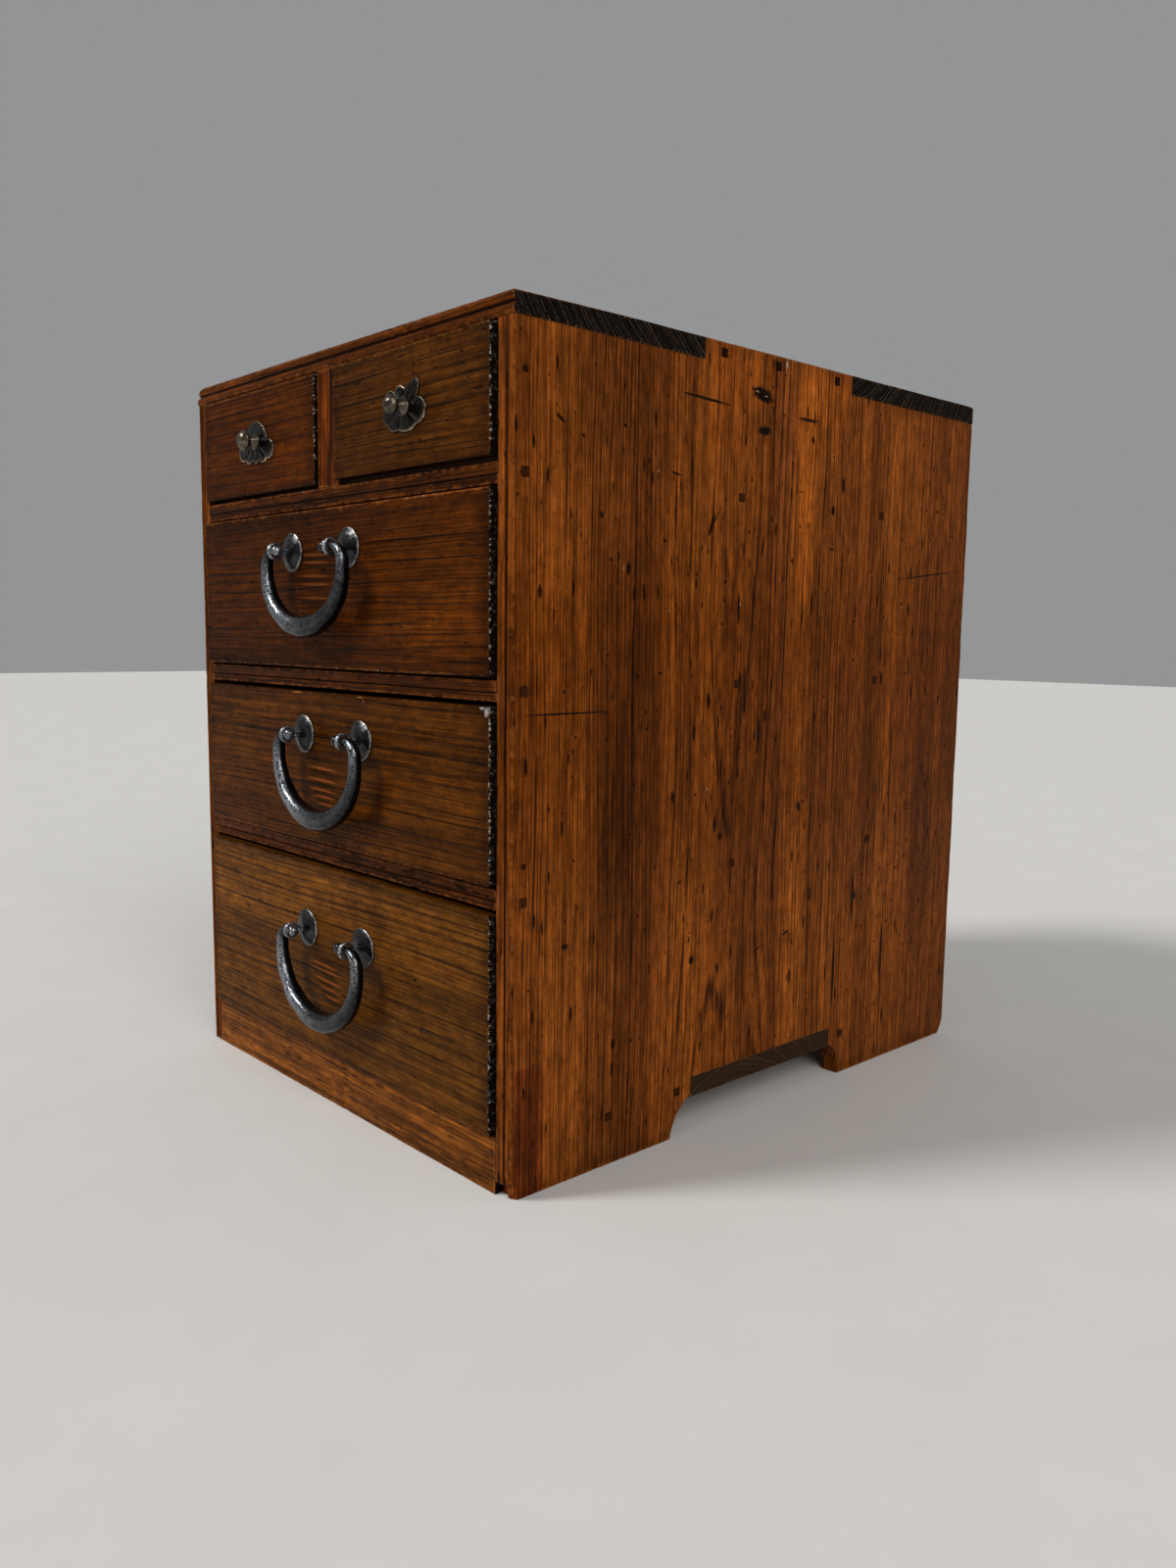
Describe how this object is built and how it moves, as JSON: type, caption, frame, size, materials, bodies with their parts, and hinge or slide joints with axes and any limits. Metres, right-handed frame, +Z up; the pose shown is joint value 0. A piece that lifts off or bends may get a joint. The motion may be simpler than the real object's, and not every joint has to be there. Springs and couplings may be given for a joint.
{
  "type": "tabletop chest of drawers",
  "caption": "Small Japanese wooden chest: two small drawers with iron knobs side by side over full-width drawers with forged iron bails, on feet cut from its sides.",
  "frame": {"origin": "on the floor, in the middle of the width and of the whole depth with the pulls counted", "axes": "+X to the right of someone facing the drawers, -Y towards that person, +Z up"},
  "size_m": [0.273, 0.3504, 0.364],
  "materials": {
    "side_wood": "worn satin varnish, warm orange brown",
    "drawer_front_wood": "worn satin varnish, greyer brown with raised grain",
    "frame_wood": "worn satin varnish, reddish brown",
    "inner_wood": "bare wood",
    "peg_wood": "dark end grain",
    "forged_iron": "dark forged iron, worn bright on its high parts"
  },
  "bodies": {
    "case": {"case_pegs": "peg_wood", "back_pegs": "peg_wood", "case_side_left": "side_wood", "case_side_right": "side_wood", "top_board": "side_wood", "bottom_board": "inner_wood", "base_rail": "frame_wood", "rail_upper": "frame_wood", "shelf_upper": "inner_wood", "rail_middle": "frame_wood", "shelf_middle": "inner_wood", "rail_lower": "frame_wood", "shelf_lower": "inner_wood", "divider_stile": "frame_wood", "partition_board": "inner_wood", "back_board_lower": "inner_wood", "back_board_upper": "inner_wood"},
    "drawer_top_left": {"drawer_top_left_pegs": "peg_wood", "drawer_top_left_front": "drawer_front_wood", "drawer_top_left_side_left": "inner_wood", "drawer_top_left_side_right": "inner_wood", "drawer_top_left_back": "inner_wood", "drawer_top_left_bottom": "inner_wood", "drawer_top_left_knob": "forged_iron", "drawer_top_left_knob_plate": "forged_iron"},
    "drawer_top_right": {"drawer_top_right_pegs": "peg_wood", "drawer_top_right_front": "drawer_front_wood", "drawer_top_right_side_left": "inner_wood", "drawer_top_right_side_right": "inner_wood", "drawer_top_right_back": "inner_wood", "drawer_top_right_bottom": "inner_wood", "drawer_top_right_knob": "forged_iron", "drawer_top_right_knob_plate": "forged_iron"},
    "drawer_upper": {"drawer_upper_pegs": "peg_wood", "drawer_upper_front": "drawer_front_wood", "drawer_upper_side_left": "inner_wood", "drawer_upper_side_right": "inner_wood", "drawer_upper_back": "inner_wood", "drawer_upper_bottom": "inner_wood", "drawer_upper_backplates": "forged_iron", "drawer_upper_eye_pins": "forged_iron"},
    "drawer_middle": {"drawer_middle_pegs": "peg_wood", "drawer_middle_front": "drawer_front_wood", "drawer_middle_side_left": "inner_wood", "drawer_middle_side_right": "inner_wood", "drawer_middle_back": "inner_wood", "drawer_middle_bottom": "inner_wood", "drawer_middle_backplates": "forged_iron", "drawer_middle_eye_pins": "forged_iron"},
    "drawer_lower": {"drawer_lower_pegs": "peg_wood", "drawer_lower_front": "drawer_front_wood", "drawer_lower_side_left": "inner_wood", "drawer_lower_side_right": "inner_wood", "drawer_lower_back": "inner_wood", "drawer_lower_bottom": "inner_wood", "drawer_lower_backplates": "forged_iron", "drawer_lower_eye_pins": "forged_iron"},
    "drawer_upper_pull": {"drawer_upper_bail": "forged_iron"},
    "drawer_middle_pull": {"drawer_middle_bail": "forged_iron"},
    "drawer_lower_pull": {"drawer_lower_bail": "forged_iron"}
  },
  "joints": [
    {"name": "drawer_top_left_slide", "type": "slide", "parent": "case", "child": "drawer_top_left", "axis": [0, -1, 0], "range_m": [0, 0.24]},
    {"name": "drawer_top_right_slide", "type": "slide", "parent": "case", "child": "drawer_top_right", "axis": [0, -1, 0], "range_m": [0, 0.24]},
    {"name": "drawer_upper_slide", "type": "slide", "parent": "case", "child": "drawer_upper", "axis": [0, -1, 0], "range_m": [0, 0.24]},
    {"name": "drawer_middle_slide", "type": "slide", "parent": "case", "child": "drawer_middle", "axis": [0, -1, 0], "range_m": [0, 0.24]},
    {"name": "drawer_lower_slide", "type": "slide", "parent": "case", "child": "drawer_lower", "axis": [0, -1, 0], "range_m": [0, 0.24]},
    {"name": "drawer_upper_bail_swing", "type": "hinge", "parent": "drawer_upper", "child": "drawer_upper_pull", "pos_m": [-0.0044, -0.1703, 0.272], "axis": [-1, 0, 0], "range_deg": [-5, 175]},
    {"name": "drawer_middle_bail_swing", "type": "hinge", "parent": "drawer_middle", "child": "drawer_middle_pull", "pos_m": [0.0042, -0.1703, 0.1845], "axis": [-1, 0, 0], "range_deg": [-5, 175]},
    {"name": "drawer_lower_bail_swing", "type": "hinge", "parent": "drawer_lower", "child": "drawer_lower_pull", "pos_m": [0.0044, -0.1703, 0.0874], "axis": [-1, 0, 0], "range_deg": [-5, 175]}
  ]
}
